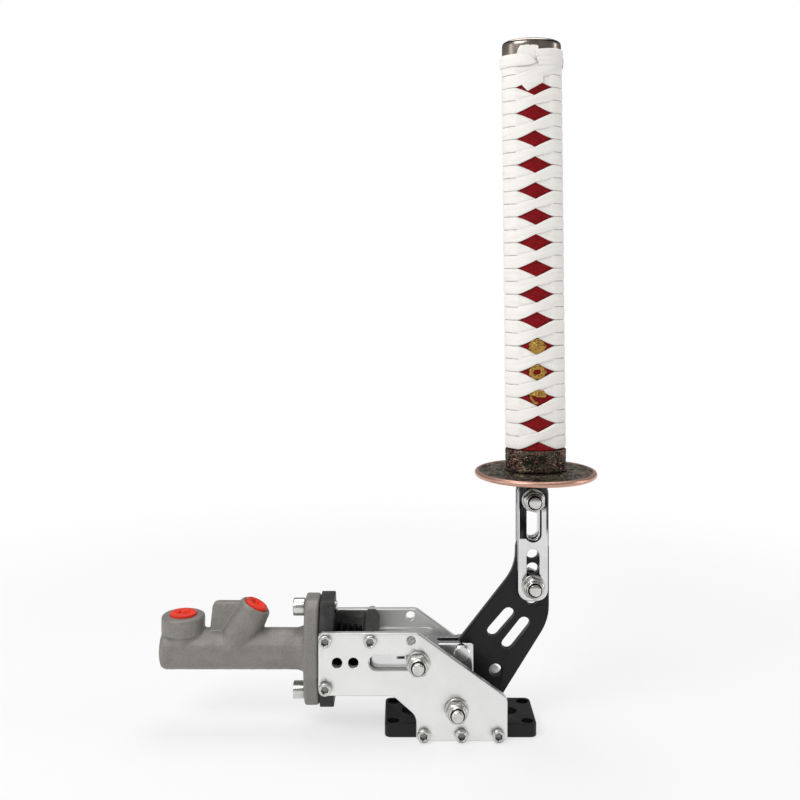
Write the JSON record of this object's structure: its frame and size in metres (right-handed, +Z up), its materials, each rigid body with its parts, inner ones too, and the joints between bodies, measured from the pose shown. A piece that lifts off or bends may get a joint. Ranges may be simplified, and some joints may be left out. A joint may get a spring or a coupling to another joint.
{
  "type": "hydraulic parking brake lever",
  "caption": "Upright hydraulic parking brake lever: side-plate frame on a floor base, horizontal master cylinder, guided slider fork, and a cord-wrapped sword-style grip with round guard.",
  "frame": {"origin": "middle of the base plate's underside, on the floor plane", "axes": "+X from the cylinder towards the lever and grip, +Y from the nut side to the bolt-head side, +Z up along the grip"},
  "size_m": [0.3, 0.084, 0.4723],
  "materials": {
    "silver_anodised": "satin anodised, edges broken",
    "black_anodised": "satin black anodised",
    "cast_grey": "as-cast, grey",
    "red_plug": "moulded",
    "zinc_steel": "bright zinc plated",
    "polished_steel": "polished",
    "black_rubber": "moulded, matte",
    "bronze": "turned",
    "aged_copper": "hammered and darkened, rim rubbed bright",
    "dark_nickel": "dark plated, polished",
    "red_skin_on_wood": "red ray skin glued over a wooden core",
    "white_cord": "flat woven cord",
    "gold": "gilt casting",
    "pale_wood": "plain"
  },
  "bodies": {
    "frame": {"side_plate_front": "silver_anodised", "side_plate_rear": "silver_anodised", "base_plate": "black_anodised", "cylinder_mount_block": "black_anodised", "top_spacer": "black_anodised", "cylinder_body": "cast_grey", "outlet_plug": "red_plug", "inlet_plug": "red_plug", "flange_bolt_lower": "zinc_steel", "flange_bolt_upper": "zinc_steel", "block_upper_screw_front": "zinc_steel", "block_lower_screw_front": "zinc_steel", "spacer_screw_front": "zinc_steel", "base_left_screw_front": "zinc_steel", "base_middle_screw_front": "zinc_steel", "base_right_screw_front": "zinc_steel", "block_upper_screw_rear": "zinc_steel", "block_lower_screw_rear": "zinc_steel", "spacer_screw_rear": "zinc_steel", "base_left_screw_rear": "zinc_steel", "base_middle_screw_rear": "zinc_steel", "base_right_screw_rear": "zinc_steel", "retaining_ring": "zinc_steel", "dust_boot": "black_rubber", "return_spring": "zinc_steel", "pivot_spacer_front": "zinc_steel", "pivot_spacer_rear": "zinc_steel", "pivot_bolt": "zinc_steel", "pivot_washer": "zinc_steel", "pivot_nut": "zinc_steel"},
    "lever": {"lever_plate": "black_anodised", "pivot_bush": "bronze", "fork_pin": "polished_steel", "fork_pin_clip": "zinc_steel", "strap_front": "polished_steel", "strap_rear": "polished_steel", "grip_tang": "black_anodised", "strap_lower_bolt": "zinc_steel", "strap_lower_washer": "zinc_steel", "strap_lower_nut": "zinc_steel", "strap_upper_bolt": "zinc_steel", "strap_upper_washer": "zinc_steel", "strap_upper_nut": "zinc_steel", "hand_guard": "aged_copper", "grip_collar": "aged_copper", "grip_core": "red_skin_on_wood", "grip_peg": "pale_wood", "grip_wrap": "white_cord", "ornament_front": "gold", "ornament_rear": "gold", "grip_cap": "dark_nickel"},
    "pushrod": {"piston": "silver_anodised", "piston_cup": "black_rubber", "piston_seal": "black_rubber", "pushrod": "zinc_steel", "slider_fork": "polished_steel", "guide_bar": "zinc_steel", "guide_bolt": "zinc_steel", "guide_washer": "zinc_steel", "guide_nut": "zinc_steel"}
  },
  "joints": [
    {"name": "lever_pull", "type": "hinge", "parent": "frame", "child": "lever", "pos_m": [-0.003, 0, 0.021], "axis": [0, -1, 0], "range_deg": [0, 28], "stiffness_Nm_per_rad": 3, "springref_deg": -5.73},
    {"name": "pushrod_slide", "type": "slide", "parent": "frame", "child": "pushrod", "axis": [-1, 0, 0], "range_m": [0, 0.0152], "deforming": ["return_spring", "dust_boot"]}
  ],
  "couplings": [
    {"joint": "pushrod_slide", "follows": "lever_pull", "m_per_rad": 0.0309}
  ]
}
